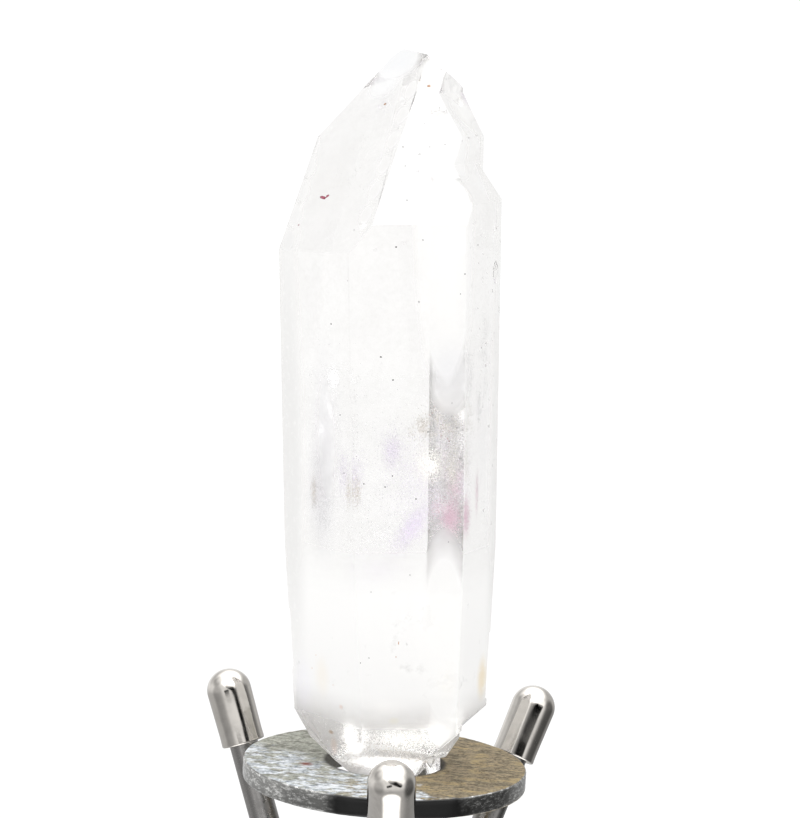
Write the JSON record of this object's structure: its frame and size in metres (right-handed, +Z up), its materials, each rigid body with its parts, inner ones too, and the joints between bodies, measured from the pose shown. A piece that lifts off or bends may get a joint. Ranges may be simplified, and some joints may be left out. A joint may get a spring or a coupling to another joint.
{
  "type": "quartz crystal on stand",
  "caption": "Pale doubly terminated quartz crystal standing point down in a flat steel washer, held up by capped steel arms on a post and a round foot.",
  "frame": {"origin": "middle of the round foot's underside, on the surface that the stand rests on", "axes": "+Z up along the post and the crystal, +X to the viewer's right with the front arm towards -Y"},
  "size_m": [0.072, 0.072, 0.1714],
  "materials": {
    "quartz": "clear to milky natural quartz, glossy faces",
    "worn_zinc": "zinc-plated steel, plating worn and rusting",
    "rod_steel": "drawn steel rod",
    "cap_steel": "polished steel with fine lengthwise scratches",
    "stand_steel": "satin turned steel"
  },
  "bodies": {
    "root": {"crystal": "quartz", "washer": "worn_zinc", "rod_left": "rod_steel", "rod_right": "rod_steel", "rod_front": "rod_steel", "cap_left": "cap_steel", "cap_right": "cap_steel", "cap_front": "cap_steel", "hub": "stand_steel", "post": "rod_steel", "foot": "stand_steel"}
  },
  "joints": []
}
